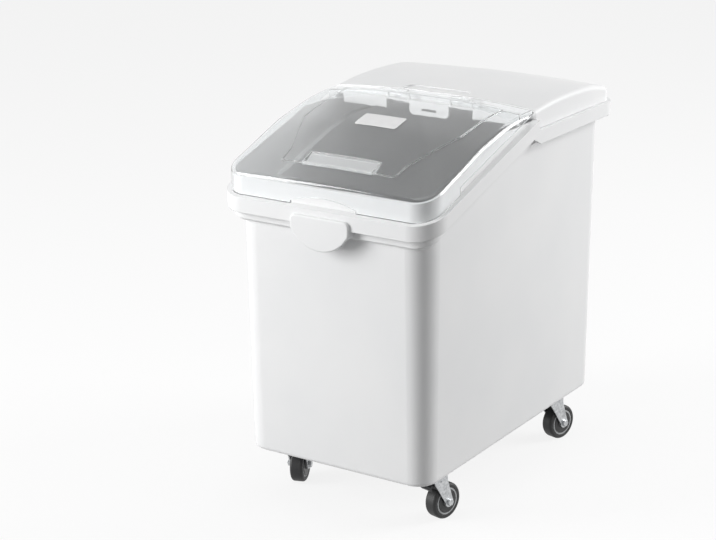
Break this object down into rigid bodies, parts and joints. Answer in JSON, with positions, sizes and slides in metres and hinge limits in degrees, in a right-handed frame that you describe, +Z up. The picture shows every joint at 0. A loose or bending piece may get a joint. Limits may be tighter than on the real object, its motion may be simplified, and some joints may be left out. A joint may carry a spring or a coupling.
{
  "type": "wheeled ingredient bin",
  "caption": "White slant-top ingredient bin on swivel casters, with a lift-off rear lid, a clear flip-up front lid and a loose clear scoop.",
  "frame": {"origin": "on the floor, under the middle of the bin's overall box", "axes": "+Z up, -Y towards the front (the clear lid), +X to the right seen from behind the front"},
  "size_m": [0.39, 0.611, 0.6424],
  "materials": {
    "white_plastic": "satin white polyethylene",
    "clear_plastic": "clear polycarbonate",
    "label_white": "printed label face, blank",
    "tyre_rubber": "black rubber",
    "grey_plastic": "grey nylon",
    "black_plastic": "black nylon",
    "zinc_steel": "zinc-plated steel"
  },
  "bodies": {
    "tub": {"tub": "white_plastic", "caster_screws": "zinc_steel", "front_left_caster_plate": "zinc_steel", "front_left_kingpin": "zinc_steel", "front_left_swivel_race": "zinc_steel", "front_right_caster_plate": "zinc_steel", "front_right_kingpin": "zinc_steel", "front_right_swivel_race": "zinc_steel", "rear_left_caster_plate": "zinc_steel", "rear_left_kingpin": "zinc_steel", "rear_left_swivel_race": "zinc_steel", "rear_right_caster_plate": "zinc_steel", "rear_right_kingpin": "zinc_steel", "rear_right_swivel_race": "zinc_steel"},
    "rear_lid": {"rear_lid": "white_plastic"},
    "front_lid": {"front_lid": "clear_plastic", "label_plate": "label_white"},
    "scoop": {"scoop": "clear_plastic"},
    "front_left_swivel": {"front_left_fork": "zinc_steel", "front_left_axle_bolt": "zinc_steel", "front_left_axle_nut": "zinc_steel", "front_left_axle_bush": "grey_plastic", "front_left_pedal_pin": "zinc_steel"},
    "front_left_wheel": {"front_left_wheel_core": "grey_plastic", "front_left_tyre": "tyre_rubber", "front_left_thread_guards": "black_plastic"},
    "front_left_brake": {"front_left_brake_pedal": "black_plastic"},
    "front_right_swivel": {"front_right_fork": "zinc_steel", "front_right_axle_bolt": "zinc_steel", "front_right_axle_nut": "zinc_steel", "front_right_axle_bush": "grey_plastic", "front_right_pedal_pin": "zinc_steel"},
    "front_right_wheel": {"front_right_wheel_core": "grey_plastic", "front_right_tyre": "tyre_rubber", "front_right_thread_guards": "black_plastic"},
    "front_right_brake": {"front_right_brake_pedal": "black_plastic"},
    "rear_left_swivel": {"rear_left_fork": "zinc_steel", "rear_left_axle_bolt": "zinc_steel", "rear_left_axle_nut": "zinc_steel", "rear_left_axle_bush": "grey_plastic"},
    "rear_left_wheel": {"rear_left_wheel_core": "grey_plastic", "rear_left_tyre": "tyre_rubber", "rear_left_thread_guards": "black_plastic"},
    "rear_right_swivel": {"rear_right_fork": "zinc_steel", "rear_right_axle_bolt": "zinc_steel", "rear_right_axle_nut": "zinc_steel", "rear_right_axle_bush": "grey_plastic"},
    "rear_right_wheel": {"rear_right_wheel_core": "grey_plastic", "rear_right_tyre": "tyre_rubber", "rear_right_thread_guards": "black_plastic"}
  },
  "joints": [
    {"name": "front_lid_hinge", "type": "hinge", "parent": "rear_lid", "child": "front_lid", "pos_m": [0, 0.0135, 0.6318], "axis": [-1, 0, 0], "range_deg": [0, 107]},
    {"name": "rear_lid_lift", "type": "slide", "parent": "tub", "child": "rear_lid", "axis": [0, 0, 1], "range_m": [0, 0.15]},
    {"name": "scoop_lift", "type": "slide", "parent": "tub", "child": "scoop", "axis": [0, 0, 1], "range_m": [0, 0.35]},
    {"name": "front_left_swivel", "type": "hinge", "parent": "tub", "child": "front_left_swivel", "pos_m": [-0.132, -0.19, 0.08], "axis": [0, 0, 1], "continuous": true},
    {"name": "front_left_wheel_roll", "type": "hinge", "parent": "front_left_swivel", "child": "front_left_wheel", "pos_m": [-0.13884, -0.17121, 0.03], "axis": [0.9397, 0.342, 0], "continuous": true},
    {"name": "front_left_brake_press", "type": "hinge", "parent": "front_left_swivel", "child": "front_left_brake", "pos_m": [-0.13268, -0.18812, 0.07], "axis": [0.9397, 0.342, 0], "range_deg": [0, 5.5]},
    {"name": "front_right_swivel", "type": "hinge", "parent": "tub", "child": "front_right_swivel", "pos_m": [0.132, -0.19, 0.08], "axis": [0, 0, 1], "continuous": true},
    {"name": "front_right_wheel_roll", "type": "hinge", "parent": "front_right_swivel", "child": "front_right_wheel", "pos_m": [0.13629, -0.17047, 0.03], "axis": [0.9767, -0.2147, 0], "continuous": true},
    {"name": "front_right_brake_press", "type": "hinge", "parent": "front_right_swivel", "child": "front_right_brake", "pos_m": [0.13243, -0.18805, 0.07], "axis": [0.9767, -0.2147, 0], "range_deg": [0, 5.5]},
    {"name": "rear_left_swivel", "type": "hinge", "parent": "tub", "child": "rear_left_swivel", "pos_m": [-0.132, 0.199, 0.08], "axis": [0, 0, 1], "continuous": true},
    {"name": "rear_left_wheel_roll", "type": "hinge", "parent": "rear_left_swivel", "child": "rear_left_wheel", "pos_m": [-0.13478, 0.21881, 0.03], "axis": [0.9903, 0.1392, 0], "continuous": true},
    {"name": "rear_right_swivel", "type": "hinge", "parent": "tub", "child": "rear_right_swivel", "pos_m": [0.132, 0.199, 0.08], "axis": [0, 0, 1], "continuous": true},
    {"name": "rear_right_wheel_roll", "type": "hinge", "parent": "rear_right_swivel", "child": "rear_right_wheel", "pos_m": [0.13711, 0.21834, 0.03], "axis": [0.9668, -0.2554, 0], "continuous": true}
  ]
}
